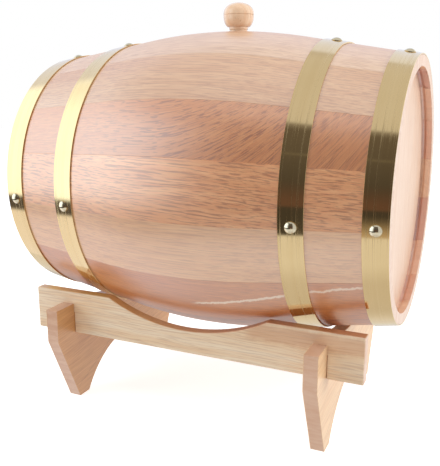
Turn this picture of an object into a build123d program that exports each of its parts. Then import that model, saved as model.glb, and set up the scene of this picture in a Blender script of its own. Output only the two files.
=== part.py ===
"""Oak cask liquor dispenser: a thirteen-litre cask lying on a slotted-together stand.

The cask is sixteen staves round two three-board heads, held by four brass hoops.
A turned bung closes the belly and a wooden tap stands in one head.
The stand is two rails halved over two leg boards, with no metal in it.

X runs along the cask, the tap at the -X end. Z is up, from the surface it stands on.
The origin lies under the middle of the whole object. Sizes are in millimetres.
"""
import os
from math import asin, atan, cos, degrees, radians, sin, sqrt, tan

from build123d import *

os.makedirs("parts", exist_ok=True)

# ---- Cask ----
cask_length = 340.0
belly_radius = 135.0
end_radius = 112.5
bilge_bend = 35.0  # belly to where the straight runs of a bent stave would meet
stave_thickness = 9.0
first_joint_angle = 77.5  # degrees round the cask, 90 at the top
top_angle = 90
stave_widths = (25, 20.5, 22, 20.5, 21.5, 21.5, 26, 23.5, 22, 22.5, 22, 24, 21, 22.5, 23, 22.5)
chime_depth = 5.5  # square part of the stave end, before the howel
howel_depth = 1.5  # how deep that hollow is planed
head_recess = 9.5  # stave end to outer face of the head
croze_depth = 3.0  # groove that holds the head
croze_width = 5.0
head_rim = 3.0  # thickness left at the rim of the head
wood_fit = 0.1  # gap round a piece of wood driven into another

# ---- Heads ----
head_thickness = 10.0
head_bevel = 9.0  # how far the bevel of the inner face reaches in
head_board_width = 76.0
dowel_diameter = 6.0
dowel_length = 24.0
dowel_distance = 88.0  # between the two dowels of a joint
dowel_chamfer = 0.8

# ---- Hoops and nails ----
hoop_width = 19.0
hoop_thickness = 1.0
hoop_leg_gap = 0.6  # between an inner hoop and the leg board beside it
hoop_fit = 0.1
hoop_lap = 24.0
nail_first_angle = 6.0
nails_per_hoop = 4
nail_head_diameter = 9.5
nail_head_height = 2.4
nail_shank_diameter = 1.8
nail_shank_length = 5.5
nail_point = 1.8
nail_fit = 0.1

# ---- Bung ----
bung_place = 7.0  # bored this far from the middle of the belly
bung_diameter = 16.4  # plug, where it enters the stave
bung_tip_diameter = 13.4
bung_plug_length = 20.0
bung_clearance = 0.3
knob_diameter = 27.4
knob_centre_height = 14.2  # above the belly
knob_crown = 10.8
knob_shoulder_diameter = 24.1
knob_shoulder_height = 6.2
knob_base = 10.6
knob_hip_diameter = 23.6
knob_hip_drop = 8.3
knob_neck_diameter = 17.2
knob_neck_slope = 53  # degrees, where the knob meets its neck
knob_groove = 0.5
neck_groove = 0.6
neck_groove_height = 1.4

# ---- Tap ----
tap_hole_above_wall = 33.0  # centre of the tap hole to the inside of the wall below it
tap_shank_diameter = 17.0  # at the face of the head
tap_tip_diameter = 14.5
tap_shank_inside = 8.0  # how far the shank stands inside the cask
tap_collar_diameter = 26.0
tap_collar_thickness = 5.0
tap_collar_bulge = 1.0
tap_neck_diameter = 18.0
tap_neck_length = 3.0
tap_body_diameter = 29.0
tap_body_length = 58.0  # beyond the face of the head
tap_key_place = 35.0  # face of the head to the axis of the key
tap_nose_diameter = 17.0
tap_nose_crown = 3.0
tap_bore_diameter = 6.0
cork_diameter = 16.0
cork_length = 23.0
key_diameter = 12.0  # plug, at the top of the cork
key_tip_diameter = 10.0  # plug, at the foot of the cork
key_fit = 0.1
key_bore_diameter = 5.0
key_nozzle_diameter = 9.0
key_nozzle_length = 9.0
key_shoulder_diameter = 17.0
key_shoulder_height = 2.5
key_seat_gap = 0.4
key_handle_width = 30.0
key_handle_height = 19.0
key_handle_thickness = 7.0
key_handle_round = 2.8
key_neck_diameter = 8.0
key_neck_length = 6.0

# ---- Stand ----
rail_length = 317.0
rail_height = 40.0
rail_thickness = 10.0
rail_top_height = 107.0
rail_spacing = 157.6  # clear width between the rails
rail_arc_width = 154.0
rail_arc_depth = 19.4
leg_thickness = 12.0
leg_spacing = 257.0  # over the outer faces of the two boards
leg_width = 227.6
leg_horn_drop = 11.4  # top of a rail to the top of a horn
leg_knee_height = 65.0
leg_foot_spread = 170.0  # over the outer edges of the feet
leg_foot_width = 14.5
leg_arch_height = 39.0
leg_saddle_clearance = 2.4
leg_saddle_drop = 1.0
lap_fit = 0.1
stand_edge = 0.8
cask_shift = 5.5  # cask stands this far off the middle of the stand
seat_clearance = 0.3

# ---- Places worked out from the sizes ----
half_length = cask_length / 2
bilge_drop = belly_radius - end_radius
stave_taper = atan(bilge_drop / (half_length - bilge_bend))
bilge_arc = bilge_bend / tan(stave_taper / 2)
arc_centre = belly_radius - bilge_arc


def bend_reach(depth=0.0):
    """Half the length of the wall's bent part, at a depth below its outside."""
    return (bilge_arc - depth) * sin(stave_taper)


def radius_at(x, depth=0.0):
    """Radius of the cask wall at x from its middle, at a depth below its outside."""
    if abs(x) > bend_reach(depth):
        return arc_centre + (bilge_arc - depth - abs(x) * sin(stave_taper)) / cos(stave_taper)
    return arc_centre + sqrt((bilge_arc - depth) ** 2 - x**2)


def inside_radius(x):
    return radius_at(x, stave_thickness)


def dome_radius(width, height):
    """Radius of the arc that spans a width and rises to a height at its middle."""
    return ((width / 2) ** 2 + height**2) / (2 * height)


head_face = half_length - head_recess
croze_radius = inside_radius(head_face) + croze_depth
end_hoop_place = half_length - hoop_width / 2
leg_inside = leg_spacing / 2 - leg_thickness
quarter_hoop_place = leg_inside - cask_shift - hoop_leg_gap - hoop_width / 2
rail_outside = rail_spacing / 2 + rail_thickness
seat_radius = radius_at(rail_arc_width / 2 - cask_shift) + seat_clearance
axis_height = rail_top_height + sqrt(seat_radius**2 - (rail_spacing / 2) ** 2)
tap_height = axis_height - inside_radius(head_face) + tap_hole_above_wall
cask_x = (tap_body_length - head_recess) / 2  # the object is centred over the origin
stand_x = cask_x - cask_shift
cask_axis = Axis((cask_x, 0, axis_height), (1, 0, 0))


def wall_plane(angle):
    """Plane through the cask's axis: its x is the cask's, its y points out at the angle."""
    a = radians(angle)
    return Plane(origin=(cask_x, 0, axis_height), x_dir=(1, 0, 0), z_dir=(0, -sin(a), cos(a)))


def surface_plane(x, angle, height=0.0):
    """Plane square to the wall's outside at x and the angle, its z pointing outwards."""
    steepest = bend_reach()
    a, lean = radians(angle), asin(max(-steepest, min(x, steepest)) / bilge_arc)
    out = (sin(lean), cos(lean) * cos(a), cos(lean) * sin(a))
    along = (cos(lean), -sin(lean) * cos(a), -sin(lean) * sin(a))
    r = radius_at(x)
    foot = (cask_x + x, r * cos(a), axis_height + r * sin(a))
    origin = tuple(f + height * o for f, o in zip(foot, out))
    return Plane(origin=origin, x_dir=along, z_dir=out)


def upright_plane(x, z, across=False):
    """Vertical plane through x and z, along the cask or across it, its y pointing up."""
    if across:
        return Plane(origin=(x, 0, z), x_dir=(0, 1, 0), z_dir=(1, 0, 0))
    return Plane(origin=(x, 0, z), x_dir=(1, 0, 0), z_dir=(0, -1, 0))


def save(builder, name):
    """Label a finished piece and write it to its own file."""
    builder.part.label = name
    export_step(builder.part, f"parts/{name}.step")


# ---- Nails: places, shared with the holes in hoops and staves ----
hoops = {
    "tap_end": -end_hoop_place,
    "tap_quarter": -quarter_hoop_place,
    "plain_quarter": quarter_hoop_place,
    "plain_end": end_hoop_place,
}
nail_angles = [nail_first_angle + i * 360 / nails_per_hoop for i in range(nails_per_hoop)]
nail_hole_radius = nail_shank_diameter / 2 + nail_fit


def nail_seat(angle):
    """Height of a nail head's underside above the stave: the first nail stands on the lap."""
    layers = 2 if angle == nail_angles[0] else 1
    return hoop_fit + layers * hoop_thickness + nail_fit


# ---- Bung hole: place, shared by the stave and the bung ----
belly_top = axis_height + radius_at(bung_place)
bung_axis = Axis((cask_x + bung_place, 0, belly_top), (0, 0, 1))
bung_taper = (bung_diameter - bung_tip_diameter) / 2 / bung_plug_length


# ---- Staves ----
def stave_end(side):
    """Corner points of a stave's end, from its outside edge to the foot of the croze."""
    howel_start = half_length - chime_depth
    return [
        (side * half_length, end_radius),
        (side * half_length, inside_radius(half_length)),
        (side * howel_start, inside_radius(howel_start)),
    ]


def make_stave(start, width):
    """One stave: the wall section turned round the cask's axis over the stave's width."""
    howel_start = half_length - chime_depth
    howel_middle = (howel_start + head_face) / 2
    croze_foot = head_face - croze_width
    with BuildPart() as stave:
        with BuildSketch(wall_plane(start)):
            with BuildLine():
                for reach, depth in ((half_length, 0), (croze_foot, stave_thickness)):
                    bend = bend_reach(depth)
                    rise = radius_at(bend, depth)
                    for side in (-1, 1):
                        Line((side * reach, radius_at(reach, depth)), (side * bend, rise))
                    ThreePointArc((-bend, rise), (0, belly_radius - depth), (bend, rise))
                for side in (-1, 1):
                    Polyline(*stave_end(side))
                    ThreePointArc(
                        (side * howel_start, inside_radius(howel_start)),
                        (side * howel_middle, inside_radius(howel_middle) + howel_depth),
                        (side * head_face, inside_radius(head_face)),
                    )
                    Polyline(
                        (side * head_face, inside_radius(head_face)),
                        (side * head_face, croze_radius),
                        (side * croze_foot, croze_radius),
                        (side * croze_foot, inside_radius(croze_foot)),
                    )
            make_face()
        revolve(axis=cask_axis, revolution_arc=width)
        for place in hoops.values():
            for angle in nail_angles:
                if (angle - start) % 360 < width:
                    with Locations(surface_plane(place, angle)):
                        Hole(nail_hole_radius, nail_shank_length)
        if (top_angle - start) % 360 < width:
            rise = bung_plug_length / 2
            mouth = bung_diameter / 2 + bung_clearance
            with BuildSketch(upright_plane(cask_x + bung_place, belly_top)):
                with BuildLine():
                    Polyline(
                        (0, rise),
                        (mouth + bung_taper * rise, rise),
                        (mouth - bung_taper * bung_plug_length, -bung_plug_length),
                        (0, -bung_plug_length),
                        close=True,
                    )
                make_face()
            revolve(axis=bung_axis, mode=Mode.SUBTRACT)
    return stave


full_turn = sum(stave_widths)
start_angle = first_joint_angle
for number, share in enumerate(stave_widths, start=1):
    stave_width = share * 360 / full_turn
    stave = make_stave(start_angle, stave_width)
    save(stave, "bung_stave" if number == 1 else f"stave_{number:02d}")
    start_angle += stave_width


# ---- Heads ----
head_radius = croze_radius - wood_fit
head_x = {"tap": cask_x - head_face, "plain": cask_x + head_face}
inward = {"tap": 1, "plain": -1}
joint_y = head_board_width / 2
boards = {
    "near": (-croze_radius, -joint_y),
    "middle": (-joint_y, joint_y),
    "far": (joint_y, croze_radius),
}
tap_shank_length = head_thickness + tap_shank_inside
tap_hole_taper = (tap_shank_diameter - tap_tip_diameter) / 2 / tap_shank_length


def dowel_plane(x, joint, rise):
    """Plane square to a dowel, in the joint between two head boards."""
    return Plane(origin=(x, joint, axis_height + rise), z_dir=(0, 1, 0))


for end in ("tap", "plain"):
    into = inward[end]
    lip_radius = inside_radius(head_face - croze_width) - wood_fit
    dowel_x = head_x[end] + into * head_thickness / 2
    for board, (low, high) in boards.items():
        with BuildPart() as head_board:
            with BuildSketch(upright_plane(head_x[end], axis_height)):
                with BuildLine():
                    Polyline(
                        (0, 0),
                        (0, head_radius),
                        (into * head_rim, head_radius),
                        (into * (croze_width - wood_fit), lip_radius),
                        (into * head_thickness, head_radius - head_bevel),
                        (into * head_thickness, 0),
                        close=True,
                    )
                make_face()
            revolve(axis=cask_axis)
            split(bisect_by=Plane(origin=(0, low, 0), z_dir=(0, 1, 0)), keep=Keep.TOP)
            split(bisect_by=Plane(origin=(0, high, 0), z_dir=(0, -1, 0)), keep=Keep.TOP)
            for joint in (-joint_y, joint_y):
                if joint in (low, high):
                    for rise in (-dowel_distance / 2, dowel_distance / 2):
                        with Locations(dowel_plane(dowel_x, joint, rise)):
                            Hole(dowel_diameter / 2 + wood_fit / 2, dowel_length / 2 + wood_fit)
            if end == "tap" and board == "middle":
                with BuildSketch(upright_plane(head_x[end], tap_height)):
                    root = tap_shank_diameter / 2
                    with BuildLine():
                        Polyline(
                            (0, 0),
                            (0, root),
                            (head_thickness, root - tap_hole_taper * head_thickness),
                            (head_thickness, 0),
                            close=True,
                        )
                    make_face()
                revolve(axis=Axis((head_x[end], 0, tap_height), (1, 0, 0)), mode=Mode.SUBTRACT)
        save(head_board, f"{end}_head_{board}_board")
    with BuildPart() as dowels:
        for joint in (-joint_y, joint_y):
            for rise in (-dowel_distance / 2, dowel_distance / 2):
                with BuildSketch(dowel_plane(dowel_x, joint, rise)):
                    Circle(dowel_diameter / 2)
                extrude(amount=dowel_length / 2, both=True)
        ends = dowels.edges().filter_by(GeomType.CIRCLE)
        chamfer(ends, dowel_chamfer)
    save(dowels, f"{end}_head_dowels")


# ---- Hoops: brass strip bent round the taper of the wall, closed by a short lap over itself ----
for name, place in hoops.items():
    x0, x1 = place - hoop_width / 2, place + hoop_width / 2
    lap_angle = degrees(hoop_lap / radius_at(place))
    with BuildPart() as hoop:
        for layer, start, turn in ((0, 0, 360), (1, nail_angles[0] - lap_angle / 2, lap_angle)):
            bottom = -(hoop_fit + layer * hoop_thickness)
            top = bottom - hoop_thickness
            with BuildSketch(wall_plane(start)):
                with BuildLine():
                    for depth in (bottom, top):
                        Line(*((x, radius_at(x, depth)) for x in (x0, x1)))
                    for x in (x0, x1):
                        Line((x, radius_at(x, bottom)), (x, radius_at(x, top)))
                make_face()
            revolve(axis=cask_axis, revolution_arc=turn)
        for angle in nail_angles:
            with Locations(surface_plane(place, angle)):
                Hole(nail_hole_radius, nail_shank_length)
    save(hoop, f"{name}_hoop")

# ---- Nails ----
for name, place in hoops.items():
    with BuildPart() as nails:
        for angle in nail_angles:
            seat = surface_plane(place, angle, nail_seat(angle))
            r, shank = nail_head_diameter / 2, nail_shank_diameter / 2
            side = Plane(origin=seat.origin, x_dir=seat.x_dir, z_dir=seat.x_dir.cross(seat.z_dir))
            with BuildSketch(side):
                with BuildLine():
                    dome = dome_radius(nail_head_diameter, nail_head_height)
                    RadiusArc((r, 0), (0, nail_head_height), -dome)
                    Polyline(
                        (0, nail_head_height),
                        (0, -nail_shank_length),
                        (shank, nail_point - nail_shank_length),
                        (shank, 0),
                        (r, 0),
                    )
                make_face()
            revolve(axis=Axis(seat.origin, seat.z_dir))
    save(nails, f"{name}_hoop_nails")

# ---- Bung ----
with BuildPart() as bung:
    with BuildSketch(upright_plane(cask_x + bung_place, belly_top)):
        knob, neck, plug = knob_diameter / 2, knob_neck_diameter / 2, bung_diameter / 2
        crown = knob_centre_height + knob_crown
        base = knob_centre_height - knob_base
        slope = radians(knob_neck_slope)
        with BuildLine():
            Spline(
                (0, crown),
                (knob_shoulder_diameter / 2, knob_centre_height + knob_shoulder_height),
                (knob, knob_centre_height),
                (knob_hip_diameter / 2, knob_centre_height - knob_hip_drop),
                (neck, base),
                tangents=((1, 0), (-cos(slope), -sin(slope))),
            )
            Polyline(
                (neck, base),
                (neck, neck_groove_height + neck_groove),
                (neck - neck_groove, neck_groove_height),
                (plug, neck_groove_height - neck_groove),
                (plug, 0),
                (bung_tip_diameter / 2, -bung_plug_length),
                (0, -bung_plug_length),
                (0, crown),
            )
        make_face()
        with Locations((knob, knob_centre_height)):
            Rectangle(2 * knob_groove, knob_groove, rotation=45, mode=Mode.SUBTRACT)
    revolve(axis=bung_axis)
save(bung, "bung")

# ---- Tap ----
tap_face = head_x["tap"]
key_x = tap_face - tap_key_place
tap_axis = Axis((tap_face, 0, tap_height), (1, 0, 0))
key_axis = Axis((key_x, 0, tap_height), (0, 0, 1))

with BuildPart() as tap_body:
    with BuildSketch(upright_plane(tap_face, tap_height)):
        root, tip = tap_shank_diameter / 2, tap_tip_diameter / 2
        collar, neck = tap_collar_diameter / 2, tap_neck_diameter / 2
        belly, nose = tap_body_diameter / 2, tap_nose_diameter / 2
        neck_x = -tap_collar_thickness - tap_neck_length
        nose_x = tap_nose_crown - tap_body_length
        nose_radius = dome_radius(tap_nose_diameter, tap_nose_crown)
        with BuildLine():
            Polyline((0, 0), (tap_shank_length, 0), (tap_shank_length, tip), (0, root), (0, collar))
            ThreePointArc(
                (0, collar),
                (-tap_collar_thickness / 2, collar + tap_collar_bulge),
                (-tap_collar_thickness, collar),
            )
            Polyline((-tap_collar_thickness, collar), (-tap_collar_thickness, neck), (neck_x, neck))
            TangentArc((-tap_key_place, belly), (neck_x, neck), tangent=(1, 0))
            TangentArc((-tap_key_place, belly), (nose_x, nose), tangent=(-1, 0))
            RadiusArc((nose_x, nose), (-tap_body_length, 0), -nose_radius)
            Line((-tap_body_length, 0), (0, 0))
        make_face()
    revolve(axis=tap_axis)
    with Locations(Plane(origin=(tap_face + tap_shank_length, 0, tap_height), z_dir=(1, 0, 0))):
        Hole(tap_bore_diameter / 2, tap_key_place + tap_shank_length)
    with Locations(Plane(origin=(key_x, 0, tap_height))):
        Hole(cork_diameter / 2)
save(tap_body, "tap_body")

with BuildPart() as tap_cork:
    with BuildSketch(upright_plane(key_x, tap_height)):
        top, foot = cork_length / 2, -cork_length / 2
        with BuildLine():
            Polyline(
                (key_diameter / 2 + key_fit, top),
                (cork_diameter / 2, top),
                (cork_diameter / 2, foot),
                (key_tip_diameter / 2 + key_fit, foot),
                close=True,
            )
        make_face()
    revolve(axis=key_axis)
    with Locations(Plane(origin=(key_x + cork_diameter / 2, 0, tap_height), z_dir=(1, 0, 0))):
        Hole(tap_bore_diameter / 2, cork_diameter / 2)
save(tap_cork, "tap_cork")

with BuildPart() as tap_key:
    shoulder_z = tap_body_diameter / 2 + key_seat_gap
    neck_z = shoulder_z + key_shoulder_height
    handle_z = neck_z + key_neck_length
    nozzle_z = -tap_body_diameter / 2
    with BuildSketch(upright_plane(key_x, tap_height)):
        with BuildLine():
            Polyline(
                (0, nozzle_z - key_nozzle_length),
                (key_nozzle_diameter / 2, nozzle_z - key_nozzle_length),
                (key_nozzle_diameter / 2, nozzle_z),
                (key_tip_diameter / 2, -cork_length / 2),
                (key_diameter / 2, cork_length / 2),
                (key_diameter / 2, shoulder_z),
                (key_shoulder_diameter / 2, shoulder_z),
                (key_shoulder_diameter / 2, neck_z),
                (key_neck_diameter / 2, neck_z),
                (key_neck_diameter / 2, handle_z + key_handle_height / 2),
                (0, handle_z + key_handle_height / 2),
                close=True,
            )
        make_face()
    revolve(axis=key_axis)
    handle_middle = tap_height + handle_z + key_handle_height / 2
    with BuildSketch(upright_plane(key_x, handle_middle, across=True)):
        Ellipse(key_handle_width / 2, key_handle_height / 2)
    extrude(amount=key_handle_thickness / 2, both=True)
    rims = tap_key.edges().filter_by(GeomType.ELLIPSE)
    fillet(rims, key_handle_round)
    nozzle_foot = tap_height + nozzle_z - key_nozzle_length
    with Locations(Plane(origin=(key_x, 0, nozzle_foot), z_dir=(0, 0, -1))):
        Hole(key_bore_diameter / 2, key_nozzle_length - nozzle_z)
    with Locations(Plane(origin=(key_x, 0, tap_height), z_dir=(0, 1, 0))):
        Hole(key_bore_diameter / 2, key_diameter)
save(tap_key, "tap_key")

# ---- Stand: rails ----
slot_width = leg_thickness + 2 * lap_fit
slot_place = (leg_spacing - leg_thickness) / 2
lap_height = rail_top_height - rail_height / 2
arc_radius = dome_radius(rail_arc_width, rail_arc_depth)

for name, side in (("near_rail", -1), ("far_rail", 1)):
    inner_y = side * rail_spacing / 2
    with BuildPart() as rail:
        face = Plane(origin=(stand_x, inner_y, rail_top_height), x_dir=(1, 0, 0), z_dir=(0, -1, 0))
        with BuildSketch(face):
            with Locations((0, -rail_height / 2)):
                Rectangle(rail_length, rail_height)
            with Locations((0, arc_radius - rail_arc_depth)):
                Circle(arc_radius, mode=Mode.SUBTRACT)
            with Locations((-slot_place, -rail_height), (slot_place, -rail_height)):
                Rectangle(slot_width, rail_height + 2 * lap_fit, mode=Mode.SUBTRACT)
        extrude(amount=-side * rail_thickness)
        tips = rail.edges().filter_by(Axis.Y).group_by(Axis.X)
        fillet(tips[0] + tips[-1], stand_edge)
    save(rail, name)

# ---- Stand: leg boards ----
for name, side in (("tap_end_leg_board", -1), ("plain_end_leg_board", 1)):
    outer_x = stand_x + side * leg_spacing / 2
    cask_radius = radius_at(outer_x - side * leg_thickness - cask_x)
    saddle_low = axis_height - cask_radius - leg_saddle_clearance
    saddle_end = rail_top_height - leg_saddle_drop
    horn_top = rail_top_height - leg_horn_drop
    slot_in, slot_out = rail_spacing / 2 - lap_fit, rail_outside + lap_fit
    saddle_radius = dome_radius(2 * slot_in, saddle_end - saddle_low)
    foot_out = leg_foot_spread / 2
    foot_in = foot_out - leg_foot_width
    arch_radius = dome_radius(2 * foot_in, leg_arch_height)
    with BuildPart() as leg_board:
        with BuildSketch(Plane(origin=(outer_x, 0, 0), x_dir=(0, 1, 0), z_dir=(1, 0, 0))):
            for hand in (-1, 1):
                with BuildLine():
                    Polyline(
                        (0, leg_arch_height),
                        (hand * foot_in, 0),
                        (hand * foot_out, 0),
                        (hand * leg_width / 2, leg_knee_height),
                        (hand * leg_width / 2, horn_top),
                        (hand * slot_out, horn_top),
                        (hand * slot_out, lap_height - lap_fit),
                        (hand * slot_in, lap_height - lap_fit),
                        (hand * slot_in, saddle_end),
                        (0, saddle_end),
                        close=True,
                    )
                make_face()
            with Locations((0, saddle_low + saddle_radius)):
                Circle(saddle_radius, mode=Mode.SUBTRACT)
            with Locations((0, leg_arch_height - arch_radius)):
                Circle(arch_radius, mode=Mode.SUBTRACT)
        extrude(amount=-side * leg_thickness)
        across = leg_board.edges().filter_by(Axis.X)
        fillet(across.filter_by(lambda edge: abs(edge.center().Y) > slot_out + lap_fit), stand_edge)
    save(leg_board, name)
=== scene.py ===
"""A small oak cask with brass hoops, lying on a stand of slotted boards.

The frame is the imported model. X runs along the cask, its tap at the -X end, and Z is up.
Blender works in metres; sizes are written in millimetres times mm.
"""
from math import asin, atan, copysign, cos, pi, radians, sin, sqrt, tan

import bmesh
import bpy
from mathutils import Matrix, Vector


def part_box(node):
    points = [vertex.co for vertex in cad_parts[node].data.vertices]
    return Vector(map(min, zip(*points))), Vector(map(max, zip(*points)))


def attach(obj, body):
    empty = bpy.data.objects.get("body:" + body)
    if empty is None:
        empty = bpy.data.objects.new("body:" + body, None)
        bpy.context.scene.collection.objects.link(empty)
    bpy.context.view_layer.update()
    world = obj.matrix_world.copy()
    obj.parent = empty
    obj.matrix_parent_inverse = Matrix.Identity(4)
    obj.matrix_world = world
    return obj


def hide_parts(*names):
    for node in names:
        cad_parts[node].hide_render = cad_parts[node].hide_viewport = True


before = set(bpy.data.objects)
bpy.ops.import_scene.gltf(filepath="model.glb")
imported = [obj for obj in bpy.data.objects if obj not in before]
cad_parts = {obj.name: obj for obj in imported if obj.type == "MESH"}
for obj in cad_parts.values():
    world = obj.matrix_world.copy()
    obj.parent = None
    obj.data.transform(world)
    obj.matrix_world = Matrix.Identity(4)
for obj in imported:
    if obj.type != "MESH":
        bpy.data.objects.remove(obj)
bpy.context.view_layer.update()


# ---- Staves ----
# Sixteen oak planks, bent lengthwise and jointed edge to edge round the cask. Each end is cut
# square (the chime), hollowed (the howel) and grooved (the croze) to take a head. Only the
# hoops hold them; the one on top is bored for the bung.
mm = 0.001
stave_low, stave_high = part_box("bung_stave")
cask_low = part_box("stave_09")[0]
half_length = (stave_high.x - stave_low.x) / 2
belly_radius = (stave_high.z - cask_low.z) / 2
cask_centre = Vector(((stave_low.x + stave_high.x) / 2, 0, stave_high.z - belly_radius))
end_radius = 112.5 * mm
bilge_bend = 35 * mm  # belly to where the straight runs of a stave would meet
stave_thickness = 9 * mm
chime_depth = 5.5 * mm
howel_depth = 1.5 * mm
head_recess = 9.5 * mm
croze_width = 5 * mm
croze_depth = 3 * mm
bung_place = 7 * mm
bung_hole_radii = (7 * mm, 8.65 * mm)  # at the two ends of the tapered cutter
bung_hole_ends = (-20 * mm, 2 * mm)  # their heights from the top of the belly
stave_edge = 0.13 * mm
first_joint_angle = 77.5  # degrees from +Y, 90 at the top
stave_angles = (25, 20.5, 22, 20.5, 21.5, 21.5, 26, 23.5, 22, 22.5, 22, 24, 21, 22.5, 23, 22.5)
weld = 0.002 * mm  # points nearer than this are one
near_by = 0.1 * mm  # and this near to a place counts as at it
smooth_angle = radians(32)

taper = atan((belly_radius - end_radius) / (half_length - bilge_bend))
bilge_arc = bilge_bend / tan(taper / 2)
arc_centre = Vector((0, 0, belly_radius - bilge_arc))
head_face = half_length - head_recess
croze_foot = head_face - croze_width


def trace(name, points):
    """Draw a line of new points as a piece, and leave it selected in edit mode."""
    bpy.ops.object.select_all(action="DESELECT")
    bpy.ops.mesh.primitive_plane_add(size=mm)
    piece = bpy.context.object
    piece.name = piece.data.name = name
    bpy.ops.object.mode_set(mode="EDIT")
    bpy.ops.mesh.select_mode(type="VERT")
    bpy.ops.mesh.merge(type="CENTER")
    bpy.ops.transform.translate(value=points[0])
    for here, there in zip(points, points[1:]):
        step = Vector(there) - Vector(here)
        bpy.ops.mesh.extrude_vertices_move(TRANSFORM_OT_translate={"value": step})
    bpy.ops.mesh.select_all(action="SELECT")
    return piece


def pick(piece, kind, wanted):
    """Select only the verts, edges or faces of a piece whose middle is wanted."""
    bpy.ops.mesh.select_all(action="DESELECT")
    bpy.ops.mesh.select_mode(type={"verts": "VERT", "edges": "EDGE", "faces": "FACE"}[kind])
    mesh = bmesh.from_edit_mesh(piece.data)
    for part in getattr(mesh, kind):
        middle = part.co if kind == "verts" else sum((v.co for v in part.verts), Vector()) / len(part.verts)
        if wanted(middle):
            part.select_set(True)
    mesh.select_flush_mode()
    bmesh.update_edit_mesh(piece.data)


def cut(place, direction, clear=False, cap=False):
    """Cut the whole piece across at a place; if asked, clear what lies beyond and cap the cut."""
    bpy.ops.mesh.select_all(action="SELECT")
    bpy.ops.mesh.bisect(plane_co=place, plane_no=direction, clear_outer=clear, use_fill=cap)


def turn(angle, steps):
    """Spin what is selected about the piece's X axis, and close the piece up."""
    bpy.ops.mesh.spin(steps=steps, angle=angle, center=(0, 0, 0), axis=(-1, 0, 0))
    close_up()


def close_up():
    """Merge what meets, point every face outwards and leave edit mode."""
    bpy.ops.mesh.select_all(action="SELECT")
    bpy.ops.mesh.remove_doubles(threshold=weld)
    bpy.ops.mesh.normals_make_consistent(inside=False)
    bpy.ops.object.mode_set(mode="OBJECT")


def settle(piece, place, rotation=(0, 0, 0)):
    """Put a piece in its place for good, its object back at the origin."""
    bpy.ops.object.select_all(action="DESELECT")
    piece.select_set(True)
    bpy.context.view_layer.objects.active = piece
    piece.location, piece.rotation_euler = place, rotation
    bpy.ops.object.transform_apply(location=True, rotation=True, scale=True)


def twin(piece, name):
    """Copy a piece, with a mesh of its own."""
    copy = piece.copy()
    copy.data = piece.data.copy()
    copy.name = copy.data.name = name
    bpy.context.collection.objects.link(copy)
    bpy.ops.object.select_all(action="DESELECT")
    copy.select_set(True)
    bpy.context.view_layer.objects.active = copy
    return copy


def bore(piece, cutter):
    """Take the cutter's shape out of a piece, and throw the cutter away."""
    bpy.context.view_layer.objects.active = piece
    hole = piece.modifiers.new("hole", "BOOLEAN")
    hole.operation, hole.object, hole.solver = "DIFFERENCE", cutter, "EXACT"
    bpy.ops.object.modifier_apply(modifier=hole.name)
    bpy.data.objects.remove(cutter)


def ease(piece, width):
    """Take the sharp corners off a piece, and shade its round faces smooth."""
    bpy.ops.object.select_all(action="DESELECT")
    piece.select_set(True)
    bpy.context.view_layer.objects.active = piece
    edges = piece.modifiers.new("eased edges", "BEVEL")
    edges.width, edges.segments = width, 1
    edges.limit_method, edges.angle_limit = "ANGLE", radians(40)
    bpy.ops.object.modifier_apply(modifier=edges.name)
    bpy.ops.object.shade_smooth_by_angle(angle=smooth_angle)


def paint(piece, material):
    """Give a piece its one finish."""
    piece.data.materials.clear()
    piece.data.materials.append(material)


def dress(piece, material, body, node):
    """Give a piece its finish and its body, and hide the plain node it stands for."""
    paint(piece, material)
    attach(piece, body)
    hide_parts(node)


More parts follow.
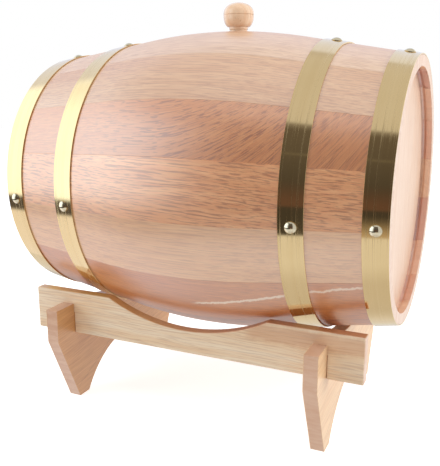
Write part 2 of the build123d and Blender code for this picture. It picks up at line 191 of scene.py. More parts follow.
class Wire:
    """An output of a shader node; arithmetic on it adds the nodes that work it out."""

    def __init__(self, socket):
        self.socket = socket

    def node(self, kind, settings, sockets, output=0):
        """Add any node to the same tree: its settings, then its sockets, by name or number."""
        node = self.socket.id_data.nodes.new(kind)
        for name, value in settings.items():
            setattr(node, name, value)
        for name, value in sockets.items():
            if isinstance(value, Wire):
                self.socket.id_data.links.new(value.socket, node.inputs[name])
            else:
                node.inputs[name].default_value = value
        return Wire(node.outputs[output])

    def work(self, operation, first, second=0.0):
        """A Math node, or a Vector Math node where either side is a vector."""
        sides = [tuple(side) if isinstance(side, Vector) else side for side in (first, second)]
        if any(isinstance(side, tuple) or isinstance(side, Wire) and side.is_vector() for side in sides):
            sides = [(side,) * 3 if isinstance(side, (int, float)) else side for side in sides]
            return self.node("ShaderNodeVectorMath", {"operation": operation}, dict(enumerate(sides)))
        return self.node("ShaderNodeMath", {"operation": operation}, dict(enumerate(sides)))

    def is_vector(self):
        return self.socket.type == "VECTOR"

    def __add__(self, other):
        return self.work("ADD", self, other)

    def __radd__(self, other):
        return self.work("ADD", other, self)

    def __sub__(self, other):
        return self.work("SUBTRACT", self, other)

    def __rsub__(self, other):
        return self.work("SUBTRACT", other, self)

    def __mul__(self, other):
        return self.work("MULTIPLY", self, other)

    def __rmul__(self, other):
        return self.work("MULTIPLY", other, self)

    def __abs__(self):
        return self.work("ABSOLUTE", self)

    def greater(self, other):
        """The greater of the two."""
        return self.work("MAXIMUM", self, other)

    def axis(self, name):
        """One part of a vector, X, Y or Z."""
        return self.node("ShaderNodeSeparateXYZ", {}, {"Vector": self}, name)

    def noise(self, scale, detail=2.0, roughness=0.5):
        """Cloudy noise from 0 to 1, with as many lumps to the metre along each axis as scale says."""
        sockets = {"Vector": self * scale, "Scale": 1.0, "Detail": detail, "Roughness": roughness}
        return self.node("ShaderNodeTexNoise", {}, sockets)

    def rise(self, low, high):
        """0 below low and 1 above high, smooth between."""
        sockets = {"Value": self, "From Min": low, "From Max": high}
        return self.node("ShaderNodeMapRange", {"interpolation_type": "SMOOTHSTEP"}, sockets)

    def tint(self, low, high, blend="MIX"):
        """Where this is 0 the low colour, where it is 1 the high one."""
        settings = {"data_type": "RGBA", "blend_type": blend}
        return self.node("ShaderNodeMix", settings, {0: self, 6: low, 7: high}, 2)

    def relief(self, strength, depth):
        """The normal of a surface that stands up by depth where this is 1."""
        return self.node("ShaderNodeBump", {}, {"Height": self, "Strength": strength, "Distance": depth})


def colour(code):
    """A paint-chart colour such as "c8a07a", as Blender's linear numbers."""
    parts = [int(code[i : i + 2], 16) / 255 for i in (0, 2, 4)]
    return (*(p / 12.92 if p < 0.04045 else ((p + 0.055) / 1.055) ** 2.4 for p in parts), 1.0)


def new_material(name):
    """A material, its shader and the piece's own coordinates to paint it by."""
    material = bpy.data.materials.new(name)
    material.use_nodes = True
    tree = material.node_tree
    place = Wire(tree.nodes.new("ShaderNodeTexCoord").outputs["Object"])
    return material, tree.nodes["Principled BSDF"], place


def feed(shader, name, wire):
    """Lead a wire to a socket of a shader, by the socket's name."""
    wire.socket.id_data.links.new(wire.socket, shader.inputs[name])


def plank(place, centre, rotation=(0, 0, 0)):
    """Coordinates of one plank: X along the grain, Y across its face, Z into it."""
    sockets = {"Vector": place, "Location": centre, "Rotation": rotation}
    return place.node("ShaderNodeMapping", {"vector_type": "TEXTURE"}, sockets)


# Oak, with places along a plank counted from its middle.
pore_tone = "8e4628"
end_grain_tones = ("f0d6c2", "cfa488")
figure_start = -20 * mm  # where its grain starts to sweep up
dash_fade = (-150 * mm, 0)  # where the dashes of such a sweep fade in
edge_fade = (-70 * mm, 60 * mm)  # where its left edge tone turns into the right one
ripple_pitch = 2.5 * mm
mark_waver = 7 * mm
mark_fade = 6 * mm


def at_face(distance, face):
    """1 on a face that lies this far out each way, 0 just short of it."""
    return abs(distance).rise(face - 0.5 * mm, face - 0.3 * mm)


def oak(
    name, grain, light, dark, line=0.4, dash=0.0, slope=0.0, bow=0.0, wave=4,
    seed=0.0, gloss=2.4, half=None, edge=None, marks=(),
):
    """Planed oak. Its grain rises by slope along the plank, wavers by wave millimetres and sweeps up by
    bow; its pores show as long lines or, where the cut slants, as short dashes. End grain shows beyond
    half its length. Edge is a depth each way from its middle plane and the tones of what lies within it,
    left and right; on the rails these are partly painted shade and reflected orange. Each of marks is a
    streak: start, end, middle, rise, reach, tone and strength; the rails' mark is painted shade and
    reflected orange, the others are the wood's own streaks and joints. Gloss is how strongly it bends
    light, and so how brightly it shines."""
    material, shader, place = new_material(name)
    along = grain(place)
    x, y, z = (along.axis(name) for name in "XYZ")
    run = (x - figure_start).greater(0.0)
    wander = (along + (seed, 0, 0)).noise((9, 40, 40), 2) - 0.5
    level = y - x * slope - run * run * bow + wander * (wave * mm)
    fibre = x.node("ShaderNodeCombineXYZ", {}, {"X": x + seed, "Y": level, "Z": z})

    rings = fibre.noise((3, 240, 60), 4, 0.6).rise(0.3, 0.7)
    cloud = (along + (0, seed, 0)).noise((9, 20, 20), 2).rise(0.3, 0.7)
    threads = fibre.noise((34, 1000, 640), 3, 0.6)
    ripple = level * (2 * pi / ripple_pitch) + fibre.noise((16, 60, 60), 2) * 14
    ripple = ripple.work("SINE", ripple) * 0.06
    lines = (fibre.noise((40, 1050, 560), 2, 0.55) + ripple).rise(0.5, 0.61) * line
    dashes = fibre.noise((84, 820, 560), 1, 0.5).rise(0.555, 0.62) * dash
    if bow:
        dashes = dashes * x.rise(*dash_fade)
    pores = lines.greater(dashes)

    wood = (rings * 0.65 + cloud * 0.35).tint(colour(light), colour(dark))
    soft_light = {"data_type": "RGBA", "blend_type": "SOFT_LIGHT"}
    wood = wood.node("ShaderNodeMix", soft_light, {0: 0.65, 6: wood, 7: threads}, 2)
    wood = (pores * 0.7).tint(wood, colour(pore_tone))
    for start, end, middle, rise, reach, tone, strength in marks:
        waver = along.noise((120, 60, 60), 4, 0.75) - 0.5
        off = y - middle - (x - start) * rise - waver * mark_waver
        band = 1 - abs(off).rise(reach * 0.4, reach)
        band = band * x.rise(start - mark_fade, start + mark_fade)
        band = band * (1 - x.rise(end - mark_fade, end + mark_fade))
        wood = (band * strength).tint(wood, colour(tone))
    if edge:
        half_thickness, left_tone, right_tone = edge
        tone = x.rise(*edge_fade).tint(colour(left_tone), colour(right_tone))
        tone = (rings * 0.35).tint(tone, colour(dark), "MULTIPLY")
        wood = (1 - at_face(z, half_thickness)).tint(wood, tone)
    if half:
        end_grain = (rings * 0.55 + threads * 0.45).tint(*(colour(tone) for tone in end_grain_tones))
        wood = at_face(x, half).tint(wood, end_grain)
    feed(shader, "Base Color", wood)
    feed(shader, "Roughness", 0.3 + threads * 0.06)
    feed(shader, "Normal", (threads * 0.6 - pores).relief(0.15, 0.1 * mm))
    shader.inputs["IOR"].default_value = gloss
    shader.inputs["Specular IOR Level"].default_value = 1.0
    return material


def wall_radius(x, depth=0.0):
    """Radius of the wall at a place along the cask, some depth below its outside."""
    if abs(x) > (bilge_arc - depth) * sin(taper):
        return arc_centre.z + (bilge_arc - depth - abs(x) * sin(taper)) / cos(taper)
    return arc_centre.z + sqrt((bilge_arc - depth) ** 2 - x**2)


def depth_of(point):
    """How deep a point near the end of a stave lies below its outside."""
    return bilge_arc - (point - arc_centre).dot(Vector((copysign(sin(taper), point.x), 0, cos(taper))))


end_waste = 3 * mm  # what is cut off square at each end
straight_run = (half_length - (bilge_arc - stave_thickness) * sin(taper)) / cos(taper) + end_waste
section = []
for depth in (stave_thickness, stave_thickness - croze_depth, 0):
    bend_start = arc_centre + (bilge_arc - depth) * Vector((-sin(taper), 0, cos(taper)))
    section.append(bend_start - straight_run * Vector((cos(taper), 0, sin(taper))))
wall = trace("wall", section)
uphill = straight_run * Vector((cos(taper), 0, sin(taper)))
downhill = straight_run * Vector((cos(taper), 0, -sin(taper)))
bpy.ops.mesh.extrude_region_move(TRANSFORM_OT_translate={"value": uphill})
bpy.ops.mesh.spin(steps=40, angle=2 * taper, center=arc_centre, axis=(0, -1, 0))
bpy.ops.mesh.extrude_region_move(TRANSFORM_OT_translate={"value": downhill})
howel_start = half_length - chime_depth
for side in (-1, 1):
    cut((side * half_length, 0, 0), (side, 0, 0), clear=True)
    for share in (0, 0.25, 0.5, 0.75, 1):
        cut((side * (head_face + share * (howel_start - head_face)), 0, 0), (side, 0, 0))
    cut((side * croze_foot, 0, 0), (side, 0, 0))
for side in (-1, 1):
    for share in (0.25, 0.5, 0.75):
        x = side * (head_face + share * (howel_start - head_face))
        pick(wall, "verts", lambda p: abs(p.x - x) < near_by and depth_of(p) > stave_thickness - near_by)
        bpy.ops.transform.translate(value=(0, 0, 4 * share * (1 - share) * howel_depth))
croze_top = stave_thickness - croze_depth
pick(wall, "faces", lambda p: croze_foot < abs(p.x) < head_face and depth_of(p) > croze_top)
bpy.ops.mesh.delete(type="FACE")
bpy.ops.object.mode_set(mode="OBJECT")

stave_looks = {  # light, dark, lines, dashes, slope, bow, wave
    "bung_stave": ("deb492", "cea07c", 0.4, 0.0, 0.0, 0.0, 3),
    "stave_02": ("e5bd9b", "d7ad85", 0.45, 0.0, 0.0, 0.0, 3),
    "stave_03": ("dcac7e", "cc9363", 0.55, 0.0, -0.03, 0.0, 4),
    "stave_04": ("d98d4f", "cf8043", 0.3, 1.0, 0.0, 4.8, 2),
    "stave_05": ("fbb478", "e59759", 0.8, 0.1, -0.05, 0.0, 7),
    "stave_06": ("eaae73", "da9a60", 0.4, 0.0, -0.02, 0.0, 4),
    "stave_07": ("d58237", "c56d2b", 0.5, 0.2, -0.03, 0.0, 5),
    "stave_08": ("c67640", "ae6434", 0.4, 0.1, 0.03, 0.0, 4),
    "stave_09": ("d49c68", "c48552", 0.4, 0.0, 0.0, 0.0, 4),
    "stave_10": ("deb084", "cc9866", 0.3, 0.2, 0.05, 0.0, 5),
    "stave_11": ("cc8c5c", "b87646", 0.5, 0.5, -0.08, 0.0, 6),
    "stave_12": ("e2b688", "d0a070", 0.3, 0.0, 0.02, 0.0, 4),
    "stave_13": ("d29462", "c07e4e", 0.2, 0.6, 0.08, 1.2, 4),
    "stave_14": ("e0b68c", "cea074", 0.3, 0.0, 0.0, 0.0, 4),
    "stave_15": ("d09668", "bc7e50", 0.5, 0.5, -0.05, 0.0, 5),
    "stave_16": ("e2ba94", "d0a67c", 0.3, 0.0, 0.0, 0.0, 3),
}
inside_radius = 107.5 * mm  # nearer to the axis than this, a stave has its inside tone
inside_tones = ("eab890", "d9906a", "e4a884", "c98068")
sapwood_streaks = {
    "stave_07": (
        (12 * mm, 92 * mm, -1.6 * mm, 0.19, 2.1 * mm, "f2dfc8", 0.8),
        (108 * mm, 152 * mm, 17 * mm, 0.1, 1.6 * mm, "f2dfc8", 0.7),
    ),
}
start_angle = first_joint_angle
for number, (name, stave_angle) in enumerate(zip(stave_looks, stave_angles)):
    stave = twin(wall, f"oak_{name}")
    bpy.ops.object.mode_set(mode="EDIT")
    bpy.ops.mesh.select_all(action="SELECT")
    turn(radians(stave_angle), steps=6)
    settle(stave, cask_centre, (radians(start_angle - 90), 0, 0))
    if name == "bung_stave":
        foot, top = bung_hole_ends
        bpy.ops.mesh.primitive_cone_add(
            vertices=64, radius1=bung_hole_radii[0], radius2=bung_hole_radii[1], depth=top - foot,
            location=cask_centre + Vector((bung_place, 0, belly_radius + (foot + top) / 2)),
        )
        bore(stave, bpy.context.object)
    ease(stave, stave_edge)
    middle = radians(start_angle + stave_angle / 2 - 90)
    inside_tone = inside_tones[number % len(inside_tones)]
    finish = oak(
        f"oak {name}", lambda place: plank(place, cask_centre, (middle, 0, 0)), *stave_looks[name],
        seed=0.37 * number, half=half_length, marks=sapwood_streaks.get(name, ()),
        edge=(inside_radius, inside_tone, inside_tone),
    )
    dress(stave, finish, "cask", name)
    start_angle += stave_angle
bpy.data.objects.remove(wall)


# ---- Heads ----
# Each end is closed by three boards of pale oak, joined edge to edge on hidden dowels, turned
# round, bevelled on the inside and sprung into the croze. The middle board at the tap end has
# the tap hole, low down.
head_thickness = 10 * mm
head_rim = 3 * mm
head_bevel = 9 * mm
head_board_width = 76 * mm
head_edge = 0.35 * mm
tap_low, tap_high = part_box("tap_body")
tap_height = (tap_low.z + tap_high.z) / 2
tap_shank_diameter = 17 * mm
rim_low, rim_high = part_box("tap_head_middle_board")
head_radius = (rim_high.z - rim_low.z) / 2

for end, side in (("tap", -1), ("plain", 1)):
    bpy.ops.object.select_all(action="DESELECT")
    across = (0, side * pi / 2, 0)
    bpy.ops.mesh.primitive_circle_add(vertices=128, radius=head_radius, fill_type="NGON", rotation=across)
    head = bpy.context.object
    bpy.ops.object.transform_apply(location=False, rotation=True, scale=False)
    bpy.ops.object.mode_set(mode="EDIT")
    for deep, shrink in ((head_rim, 1), (head_thickness - head_rim, 1 - head_bevel / head_radius)):
        bpy.ops.mesh.extrude_region_move(TRANSFORM_OT_translate={"value": (-side * deep, 0, 0)})
        bpy.ops.transform.resize(value=(1, shrink, shrink))
    close_up()
    head_place = cask_centre + Vector((side * head_face, 0, 0))
    joint = head_board_width / 2
    board_cuts = {"near": [(-joint, 1)], "middle": [(-joint, -1), (joint, 1)], "far": [(joint, -1)]}
    for board, cuts in board_cuts.items():
        piece = twin(head, f"oak_{end}_head_{board}_board")
        bpy.ops.object.mode_set(mode="EDIT")
        for y, beyond in cuts:
            cut((0, y, 0), (0, beyond, 0), clear=True, cap=True)
        close_up()
        settle(piece, head_place)
        if (end, board) == ("tap", "middle"):
            bpy.ops.mesh.primitive_cylinder_add(
                vertices=64, radius=tap_shank_diameter / 2, depth=3 * head_thickness,
                location=(head_place.x, 0, tap_height), rotation=(0, pi / 2, 0),
            )
            bore(piece, bpy.context.object)
        ease(piece, head_edge)
        seed = {"near": 0.2, "middle": 0.55, "far": 0.9}[board] + side
        finish = oak(
            f"oak {end} head {board} board", lambda place: plank(place, head_place, (0, -side * pi / 2, 0)),
            "ead0bc", "e0c0a6", 0.2, seed=seed, gloss=1.5,
        )
        dress(piece, finish, "cask", f"{end}_head_{board}_board")
    bpy.data.objects.remove(head)

dowel_finish = oak("dowel beech", lambda place: plank(place, cask_centre), "e2c39c", "d2ab7e")
for end in ("tap", "plain"):
    paint(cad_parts[f"{end}_head_dowels"], dowel_finish)


# ---- Hoops ----
# Flat brass strip, brushed lengthwise, rolled to the slope of the wall and closed by a short
# lap over itself. Two hoops stand flush with the ends and two half way in; nails hold them.
hoop_width = 19 * mm
hoop_thickness = 1 * mm
hoop_gap = 0.1 * mm
hoop_edge = 0.12 * mm
lap_length = 24 * mm
nail_first_angle = 6  # degrees from +Y, as the staves' joints
quarter_low, quarter_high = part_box("plain_quarter_hoop")
quarter_station = (quarter_low.x + quarter_high.x) / 2 - cask_centre.x
end_station = half_length - hoop_width / 2
hoop_stations = {  # along the cask, from its middle
    "tap_end": -end_station,
    "tap_quarter": -quarter_station,
    "plain_quarter": quarter_station,
    "plain_end": end_station,
}

hoop_brass, shader, place = new_material("hoop brass")
local = place - cask_centre
brush_lines = local.noise((950, 4, 4), 3, 0.7)
broad_lines = local.noise((260, 3, 3), 2, 0.5)
tarnish = local.noise((18, 18, 18), 3, 0.6).rise(0.35, 0.75)
metal = (broad_lines.rise(0.35, 0.65) * 0.5).tint(colour("f2d8a6"), colour("ecd09c"))
feed(shader, "Base Color", (tarnish * 0.25).tint(metal, colour("e2c48e")))
feed(shader, "Roughness", 0.08 + brush_lines.rise(0.52, 0.68) * 0.26)
feed(shader, "Normal", (brush_lines + broad_lines).relief(0.1, 0.02 * mm))
shader.inputs["Metallic"].default_value = 1.0


def hoop_strip(name, station, layer, steps, angle):
    """The strip's section, drawn along the wall and turned round the cask."""
    under = -(hoop_gap + layer * hoop_thickness)
    over = under - hoop_thickness
    left, right = station - hoop_width / 2, station + hoop_width / 2
    corners = [(left, under), (right, under), (right, over), (left, over), (left, under)]
    strip = trace(name, [(x, 0, wall_radius(x, depth)) for x, depth in corners])
    bpy.ops.mesh.remove_doubles(threshold=weld)
    if angle < pi:
        bpy.ops.mesh.edge_face_add()
    turn(angle, steps)
    ease(strip, hoop_edge)
    return strip


for name, station in hoop_stations.items():
    lap_angle = lap_length / wall_radius(station)
    hoop = hoop_strip(f"brass_{name}_hoop", station, layer=0, steps=144, angle=2 * pi)
    lap = hoop_strip("lap", station, layer=1, steps=6, angle=lap_angle)
    settle(lap, (0, 0, 0), (radians(nail_first_angle - 90) - lap_angle / 2, 0, 0))
    hoop.select_set(True)
    bpy.context.view_layer.objects.active = hoop
    bpy.ops.object.join()
    settle(hoop, cask_centre)
    dress(hoop, hoop_brass, "cask", f"{name}_hoop")


# ---- Hoop nails ----
# Four domed brass nails through each hoop, the first of them through its lap. The heads are
# polished, and stand on the strip.
nails_per_hoop = 4
nail_head_diameter = 9.5 * mm
nail_head_height = 2.4 * mm
nail_rim = 0.35 * mm
dome_steps = 12

dome_radius = ((nail_head_diameter / 2) ** 2 + nail_head_height**2) / (2 * nail_head_height)
dome_angle = asin(nail_head_diameter / 2 / dome_radius)
dome_centre = nail_head_height - dome_radius
profile = [(0, 0, nail_head_diameter / 2 - nail_rim), (nail_rim, 0, nail_head_diameter / 2)]
for step in range(1, dome_steps + 1):
    angle = dome_angle * (1 - step / dome_steps)
    profile.append((dome_centre + dome_radius * cos(angle), 0, dome_radius * sin(angle)))
nail = trace("nail", profile)
turn(2 * pi, steps=40)
bpy.ops.object.mode_set(mode="EDIT")
pick(nail, "edges", lambda p: p.x < near_by)
bpy.ops.mesh.edge_face_add()
close_up()
bpy.ops.object.shade_smooth_by_angle(angle=smooth_angle)

nail_brass, shader, place = new_material("nail brass")
scuffs = place.noise((900, 900, 900), 3, 0.6)
feed(shader, "Base Color", scuffs.tint(colour("f4ecd6"), colour("e2d4b0")))
feed(shader, "Roughness", 0.07 + scuffs * 0.08)
shader.inputs["Metallic"].default_value = 1.0

for name, station in hoop_stations.items():
    lean = copysign(taper, station)
    radius = wall_radius(station)
    copies = []
    for count in range(nails_per_hoop):
        angle = radians(nail_first_angle + count * 360 / nails_per_hoop)
        layers = 2 if count == 0 else 1  # the first stands on the lap
        copy = twin(nail, f"brass_{name}_hoop_nails")
        out = Vector((sin(lean), cos(lean) * cos(angle), cos(lean) * sin(angle)))
        along = Vector((cos(lean), -sin(lean) * cos(angle), -sin(lean) * sin(angle)))
        foot = cask_centre + Vector((station, radius * cos(angle), radius * sin(angle)))
        nail_turn = Matrix((out, along, out.cross(along))).transposed().to_euler()
        settle(copy, foot + out * (hoop_gap + layers * hoop_thickness), nail_turn)
        copies.append(copy)
    bpy.ops.object.select_all(action="DESELECT")
    for copy in copies:
        copy.select_set(True)
    bpy.context.view_layer.objects.active = copies[0]
    bpy.ops.object.join()
    dress(copies[0], nail_brass, "cask", f"{name}_hoop_nails")
bpy.data.objects.remove(nail)


# ---- Bung ----
# Turned from one piece of beech and lacquered: a squat ball to pull by, with a fine groove
# round it, a short grooved neck, and a tapered plug that is pushed into the top stave.
knob_radius = 13.7 * mm
knob_centre = 14.2 * mm  # its height above the belly
knob_crown = 10.8 * mm
knob_base = 10.6 * mm
neck_radius = 8.6 * mm
neck_groove = (1.4 * mm, 7.6 * mm)  # height and radius of its floor
neck_foot = 2 * mm
groove = 0.5 * mm
plug_radius = 8.2 * mm
plug_top = 0.8 * mm
plug_length = 20 * mm
tip_radius = 6.7 * mm
tip_chamfer = 0.5 * mm
bung_low, bung_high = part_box("bung")
belly_top = bung_high.z - knob_centre - knob_crown


def turned(name, profile):
    """A piece turned on the lathe from its profile: heights along X, radii up."""
    piece = trace(name, [(height, 0, radius) for height, radius in profile])
    turn(2 * pi, steps=64)
    bpy.ops.object.shade_smooth_by_angle(angle=smooth_angle)
    return piece


def rounded(start, end, count, fullness):
    """Points of a round shoulder from start to end, bulging outwards; start is the widest."""
    points = []
    for step in range(count + 1):
        angle = pi / 2 * step / count
        across, along = cos(angle) ** (2 / fullness), sin(angle) ** (2 / fullness)
        height = start[0] + (end[0] - start[0]) * along
        points.append((height, end[1] + (start[1] - end[1]) * across))
    return points


upper = rounded((knob_centre + groove / 2, knob_radius), (knob_centre + knob_crown, 0), 14, 2.25)
lower = rounded((knob_centre - groove / 2, knob_radius), (knob_centre - knob_base, neck_radius), 8, 2.0)
bung_profile = [
    (-plug_length, 0), (-plug_length, tip_radius - tip_chamfer), (tip_chamfer - plug_length, tip_radius),
    (0, plug_radius), (plug_top, plug_radius), neck_groove, (neck_foot, neck_radius),
    *reversed(lower), (knob_centre, knob_radius - groove), *upper,
]
bung = turned("beech_bung", bung_profile)
settle(bung, (cask_centre.x + bung_place, 0, belly_top), (0, -pi / 2, 0))


def lacquered_beech(name, grain):
    """Pale beech under clear lacquer: fine even grain with short brown flecks."""
    material, shader, place = new_material(name)
    along = grain(place)
    rings = along.noise((6, 300, 120), 4, 0.6).rise(0.3, 0.75)
    threads = along.noise((60, 2200, 2200), 2, 0.6)
    flecks = along.noise((160, 1400, 1400), 1).rise(0.66, 0.74)
    wood = rings.tint(colour("f4dcc2"), colour("e8c09c"))
    wood = (threads * 0.3).tint(wood, colour("cf9a68"))
    wood = (flecks * 0.5).tint(wood, colour("a9713f"))
    feed(shader, "Base Color", wood)
    feed(shader, "Roughness", 0.36 + threads * 0.12)
    shader.inputs["Coat Weight"].default_value = 1.0
    shader.inputs["Coat Roughness"].default_value = 0.08
    return material


upright = (0, -pi / 2, 0)
bung_finish = lacquered_beech("lacquered bung beech", lambda place: plank(place, bung_low, upright))
dress(bung, bung_finish, "bung", "bung")


# ---- Tap ----
# A wooden tap, driven into the hole in the head: turned body with a collar, a cork sleeve
# across it, and a key through the cork whose foot is the spout. Half a turn of the key opens it.
tap_face = cask_centre.x - head_face  # heights of the profile count from here, into the cask
tap_shank_end = (18 * mm, 7.25 * mm)
tap_shank_root = (0, tap_shank_diameter / 2)
tap_collar = [(0, 13), (-1.2, 13.75), (-2.5, 14), (-3.8, 13.75), (-5, 13), (-5, 9)]  # millimetres
tap_neck = (-8 * mm, 9 * mm)
tap_belly = (-35 * mm, 14.5 * mm)
tap_tail = (-55 * mm, 8.5 * mm)
tap_nose = -58 * mm
nose_radius = 13.5 * mm
tap_bore_diameter = 6 * mm
tap_edge = 0.2 * mm
bore_spare = 2 * mm  # how far the bore's cutter goes beyond the shank
cutter_length = 60 * mm  # well through the tap or any board
cork_low, cork_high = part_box("tap_cork")


def shoulder(end):
    """Points of a turned shoulder, from the tap's belly round to a narrower place."""
    run, drop = end[0] - tap_belly[0], tap_belly[1] - end[1]
    radius = (run**2 + drop**2) / (2 * drop)
    steps = [run * count / 10 for count in range(11)]
    return [(tap_belly[0] + step, tap_belly[1] - radius + sqrt(radius**2 - step**2)) for step in steps]


nose = [
    (tap_nose + (1 - cos(angle)) * nose_radius, sin(angle) * nose_radius)
    for angle in (0.57, 0.43, 0.29, 0.14, 0)
]
tap_profile = [
    (tap_shank_end[0], 0), tap_shank_end, tap_shank_root,
    *((height * mm, radius * mm) for height, radius in tap_collar),
    *reversed(shoulder(tap_neck)), *shoulder(tap_tail)[1:], *nose,
]
tap = turned("beech_tap_body", tap_profile)
settle(tap, (tap_face, 0, tap_height))
bpy.ops.mesh.primitive_cylinder_add(
    vertices=64, radius=(cork_high.x - cork_low.x) / 2, depth=cutter_length,
    location=((cork_low.x + cork_high.x) / 2, 0, tap_height),
)
bore(tap, bpy.context.object)
ease(tap, tap_edge)
bore_start, bore_end = tap_belly[0], tap_shank_end[0] + bore_spare
bpy.ops.mesh.primitive_cylinder_add(
    vertices=48, radius=tap_bore_diameter / 2, depth=bore_end - bore_start,
    location=(tap_face + (bore_start + bore_end) / 2, 0, tap_height), rotation=(0, pi / 2, 0),
)
bore(tap, bpy.context.object)
bpy.ops.object.mode_set(mode="EDIT")
close_up()
tap_finish = lacquered_beech("lacquered tap beech", lambda place: plank(place, tap_low))
dress(tap, tap_finish, "cask", "tap_body")

downward = (0, pi / 2, 0)
key_finish = lacquered_beech("lacquered key beech", lambda place: plank(place, tap_low, downward))
paint(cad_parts["tap_key"], key_finish)

cork_finish, shader, place = new_material("sleeve cork")
grains = place.noise((700, 700, 700), 2, 0.5)
pits = place.noise((420, 420, 900), 2).rise(0.62, 0.7)
feed(shader, "Base Color", pits.tint(grains.tint(colour("c99a68"), colour("a9763f")), colour("5c3a20")))
feed(shader, "Roughness", 0.8 + grains * 0.15)
paint(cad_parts["tap_cork"], cork_finish)


# ---- Rails ----
# Two long boards of pale oak on edge, each scooped along the top where the belly hangs between
# them, and slotted from below to halve over the leg boards.
rail_edge = 0.7 * mm
rail_arc_width = 154 * mm
rail_arc_depth = 19.4 * mm
leg_thickness = 12 * mm
lap_fit = 0.1 * mm
near_low, near_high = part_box("near_rail")
legs_low, legs_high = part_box("tap_end_leg_board")[0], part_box("plain_end_leg_board")[1]
stand_x = (near_low.x + near_high.x) / 2
rail_top = near_high.z
rail_height = near_high.z - near_low.z
arc_radius = ((rail_arc_width / 2) ** 2 + rail_arc_depth**2) / (2 * rail_arc_depth)
slot_top = rail_top - rail_height / 2 + lap_fit
rail_seeds = {"near_rail": 1.7, "far_rail": 2.9}
rail_tones = ("f6e2c6", "ecc89e")
# Edges: partly the oak's own colour, partly painted shade and reflected orange, darker to the right.
rail_edge_tones_with_painted_shade = ("e6b878", "c98a5c")
# A painted patch of shade and reflected orange high on the rails' faces, right of the middle.
rail_painted_shade_marks = ((60 * mm, 170 * mm, -9 * mm, 0, 10 * mm, "cd8f60", 0.5),)


def plain_board(node):
    """A plain board as large as a node of the model, with its middle and its size."""
    low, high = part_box(node)
    bpy.ops.object.select_all(action="DESELECT")
    bpy.ops.mesh.primitive_cube_add(size=1, location=(low + high) / 2, scale=high - low)
    piece = bpy.context.object
    piece.name = piece.data.name = f"oak_{node}"
    bpy.ops.object.transform_apply(location=True, rotation=True, scale=True)
    return piece, (low + high) / 2, high - low


for name, seed in rail_seeds.items():
    rail, centre, size = plain_board(name)
    bpy.ops.mesh.primitive_cylinder_add(
        vertices=512, radius=arc_radius, depth=cutter_length, rotation=(pi / 2, 0, 0),
        location=(stand_x, centre.y, rail_top - rail_arc_depth + arc_radius),
    )
    bore(rail, bpy.context.object)
    for x in (legs_low.x + leg_thickness / 2, legs_high.x - leg_thickness / 2):
        bpy.ops.mesh.primitive_cube_add(
            size=1, location=(x, centre.y, slot_top - rail_height / 2),
            scale=(leg_thickness + 2 * lap_fit, cutter_length, rail_height),
        )
        bore(rail, bpy.context.object)
    bpy.ops.object.mode_set(mode="EDIT")
    cut((stand_x, 0, 0), (1, 0, 0))
    close_up()
    ease(rail, rail_edge)
    figure_centre = (stand_x, centre.y, rail_top)
    finish = oak(
        f"oak {name}", lambda place: plank(place, figure_centre, (pi / 2, 0, 0)),
        *rail_tones, line=0.3, wave=8, seed=seed, gloss=1.7,
        half=size.x / 2, edge=(size.y / 2, *rail_edge_tones_with_painted_shade), marks=rail_painted_shade_marks,
    )
    dress(rail, finish, "stand", name)


# ---- Leg boards ----
# Two boards of the same oak stand across under the rails. Each has a horn outside each rail, a
# saddle between them that clears the cask, feet, and an arch cut between the feet.
horn_top = 95.6 * mm
saddle_end = rail_top - 1 * mm
saddle_clearance = 2.4 * mm
knee_height = 65 * mm  # up to here the sides slope outwards
foot_spread = 170 * mm
foot_width = 14.5 * mm
arch_height = 39 * mm
waist_height = 60 * mm  # a cut across here keeps the broad faces from splitting into slivers
leg_edge = 0.7 * mm
slot_in, slot_out = abs(near_high.y) - lap_fit, abs(near_low.y) + lap_fit
horn_waste = Vector((cutter_length, 81 * mm, 40 * mm))
horn_waste_start = slot_out - 0.5 * mm  # it overlaps the slot by a little
# The tap-end board's darker, more orange tones are painted shade; the plain-end board has the oak's own.
leg_tones_with_painted_shade = {"tap_end_leg_board": ("d89e66", "ca8f54"), "plain_end_leg_board": ("f2cea4", "e4ba8c")}
leg_edge_tones = ("dcb498", "d8b094")
leg_marks = ((-85 * mm, 85 * mm, -42 * mm, 0.5, 0.6 * mm, "a9744c", 0.5),)

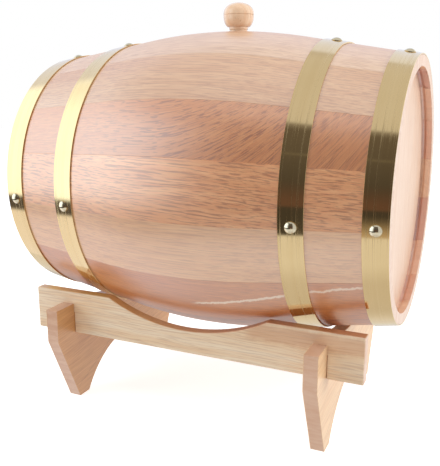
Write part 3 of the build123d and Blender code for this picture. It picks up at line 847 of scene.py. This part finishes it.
for name, side in (("tap_end_leg_board", -1), ("plain_end_leg_board", 1)):
    leg, centre, size = plain_board(name)
    bpy.ops.object.mode_set(mode="EDIT")
    for hand in (-1, 1):
        slant = (0, hand * knee_height, (foot_spread - size.y) / 2)
        cut((0, hand * foot_spread / 2, 0), slant, clear=True, cap=True)
    bpy.ops.object.mode_set(mode="OBJECT")
    for hand in (-1, 1):
        bpy.ops.mesh.primitive_cube_add(
            size=1, location=(centre.x, hand * (slot_in + slot_out) / 2, rail_top - lap_fit),
            scale=(cutter_length, slot_out - slot_in, rail_height),
        )
        bore(leg, bpy.context.object)
        bpy.ops.mesh.primitive_cube_add(
            size=1, scale=horn_waste,
            location=(centre.x, hand * (horn_waste_start + horn_waste.y / 2), horn_top + horn_waste.z / 2),
        )
        bore(leg, bpy.context.object)
    inner_x = centre.x - side * leg_thickness / 2 - cask_centre.x
    saddle_low = cask_centre.z - wall_radius(inner_x) - saddle_clearance
    arch_half, saddle_rise = foot_spread / 2 - foot_width, saddle_end - saddle_low
    saddle_radius = (slot_in**2 + saddle_rise**2) / (2 * saddle_rise)
    arch_radius = (arch_half**2 + arch_height**2) / (2 * arch_height)
    round_cuts = ((saddle_radius, saddle_low + saddle_radius), (arch_radius, arch_height - arch_radius))
    for radius, cutter_height in round_cuts:
        bpy.ops.mesh.primitive_cylinder_add(
            vertices=256, radius=radius, depth=cutter_length, rotation=(0, pi / 2, 0),
            location=(centre.x, 0, cutter_height),
        )
        bore(leg, bpy.context.object)
    bpy.ops.object.mode_set(mode="EDIT")
    cut((0, 0, waist_height), (0, 0, 1))
    cut((0, 0, 0), (0, 1, 0))
    close_up()
    ease(leg, leg_edge)
    finish = oak(
        f"oak {name}", lambda place: plank(place, centre, (pi / 2, 0, pi / 2)), *leg_tones_with_painted_shade[name],
        line=0.25, slope=0.12, seed=3.3 + side, gloss=1.6,
        edge=(leg_thickness / 2, *leg_edge_tones), marks=leg_marks,
    )
    dress(leg, finish, "stand", name)


# ---- Studio ----
# A white table in a white room. What the brass mirrors is a tall softbox on the left, a second one
# behind on the right, the ceiling, the table and one dark side, where the camera stands.
bpy.ops.mesh.primitive_plane_add(size=6, location=(0, 0, 0))
floor = bpy.context.object
floor.name = floor.data.name = "table"
table_paint, shader, place = new_material("white table")
feed(shader, "Base Color", place.noise((3, 3, 3), 2).tint(colour("e6e6e6"), colour("e4e4e4")))
shader.inputs["Roughness"].default_value = 0.8
shader.inputs["Specular IOR Level"].default_value = 0.0
shader.inputs["Emission Color"].default_value = (1, 1, 1, 1)
shader.inputs["Emission Strength"].default_value = 0.72
floor.data.materials.append(table_paint)
floor.visible_glossy = floor.visible_diffuse = False

world = bpy.data.worlds.new("white room")
world.use_nodes = True
bpy.context.scene.world = world
tree = world.node_tree
way = Wire(tree.nodes.new("ShaderNodeTexCoord").outputs["Generated"])
rays = tree.nodes.new("ShaderNodeLightPath").outputs
height = way.axis("Z").work("ARCSINE", way.axis("Z")) * (180 / pi)  # degrees above the table
bearing = way.axis("Y").work("ARCTAN2", way.axis("Y"), way.axis("X")) * (180 / pi)  # degrees from +X


def between(angle, low, high, soft):
    """1 between two bearings or heights in degrees, 0 outside them."""
    return angle.rise(low - soft, low + soft) * (1 - angle.rise(high - soft, high + soft))


def lit(red, green, blue):
    """The light that comes from a part of the room, where 1 is white."""
    return (red, green, blue, 1)


walls = between(bearing, 92, 166, 6).tint(lit(0.65, 0.65, 0.65), lit(0.6, 0.58, 0.58))
right_box = between(bearing, 15, 85, 5) * between(height, -30, 32, 4)
room = right_box.tint(walls, lit(1.05, 1.0, 0.97))

# The dark side: it grows lighter upwards, with a brown low band and a warm foot by the table.
dark = height.rise(-15, 57).tint(lit(0.062, 0.054, 0.045), lit(0.14, 0.12, 0.1))
dark = between(height, 30, 31, 0.6).tint(dark, lit(0.2, 0.18, 0.14))
brown_band = height.rise(-9, -7) * (1 - height.rise(-7, 14))
dark = brown_band.tint(dark, lit(0.14, 0.08, 0.058))
warm_foot = (1 - height.rise(-34, -11)) * bearing.rise(-88, -84)
dark = warm_foot.tint(dark, lit(0.6, 0.48, 0.33))
dark_side = between(bearing, -150, -46, 1.5) * between(height, -30, 54, 1.5)
room = dark_side.tint(room, dark)
room = height.rise(48, 62).tint(room, lit(0.67, 0.66, 0.65))  # the ceiling

back_wall = between(bearing, 88, 168, 3) * between(height, -10, 51, 3)
room = back_wall.tint(room, lit(0.84, 0.9, 1.08))

# The table, brighter on the left where it runs up to a dark gap under the left softbox.
on_left = 1 - between(bearing, -143, 165, 1.5)
table = on_left.tint(lit(0.8, 0.79, 0.78), lit(0.98, 0.96, 1.0))
table = (1 - height.rise(-75, -50)).tint(table, lit(0.66, 0.63, 0.6))
room = (1 - height.rise(-31, -29)).tint(room, table)
table_edge = on_left * between(height, -40, -23, 1.5)
room = table_edge.tint(room, lit(0.98, 0.96, 1.0))
dark_gap = on_left * between(height, -23, -14, 1.5)
room = dark_gap.tint(room, lit(0.11, 0.1, 0.1))

left_glow = 1 - bearing.rise(-141, -103) + bearing.rise(158, 170)
left_box = left_glow * height.rise(-16, -12) * (1 - height.rise(34, 52))
room = left_box.tint(room, lit(1.45, 1.6, 1.7))

# What lights the matt surfaces is plainer, and the camera itself sees white.
matt_light = height.rise(-30, 20).tint(lit(0.95, 0.92, 0.88), lit(0.5, 0.5, 0.5))
room = Wire(rays["Is Diffuse Ray"]).tint(room, matt_light)
feed(tree.nodes["Background"], "Color", Wire(rays["Is Camera Ray"]).tint(room, lit(1, 1, 1)))

lamp_aim = Vector((0, 0, 0.2))
for name, place, width, power in (
    ("left window", (-1.6, -1.1, 0.9), 1.2, 14),
    ("ceiling", (0.1, -0.3, 2.2), 2.0, 20),
    ("right window", (1.8, 0.3, 0.7), 1.2, 19),
):
    lamp = bpy.data.objects.new(name, bpy.data.lights.new(name, "AREA"))
    lamp.data.size, lamp.data.energy = width, power
    lamp.location = place
    lamp.rotation_euler = (lamp_aim - Vector(place)).to_track_quat("-Z", "Y").to_euler()
    lamp.visible_glossy = False
    bpy.context.collection.objects.link(lamp)

bpy.context.scene.view_settings.view_transform = "Standard"


# ---- Camera ----
# It stands on the near side, towards the plain end, and looks down a little on the cask, with a
# lens that keeps the whole of it in view.
camera_place = cask_centre + Vector((245.37, -567.51, 87.47)) * mm
camera_turn, camera_tip, camera_roll = radians(24.3), radians(12.71), radians(0.14)
focal_length, picture_height = 653.92, 466  # both in pixels
camera = bpy.data.objects.new("camera", bpy.data.cameras.new("camera"))
camera.data.sensor_width = 36
camera.data.lens = focal_length * camera.data.sensor_width / picture_height
camera.matrix_world = (
    Matrix.Translation(camera_place)
    @ Matrix.Rotation(camera_turn, 4, "Z")
    @ Matrix.Rotation(pi / 2 - camera_tip, 4, "X")
    @ Matrix.Rotation(camera_roll, 4, "Z")
)
bpy.context.collection.objects.link(camera)
bpy.context.scene.camera = camera

bpy.context.view_layer.update()
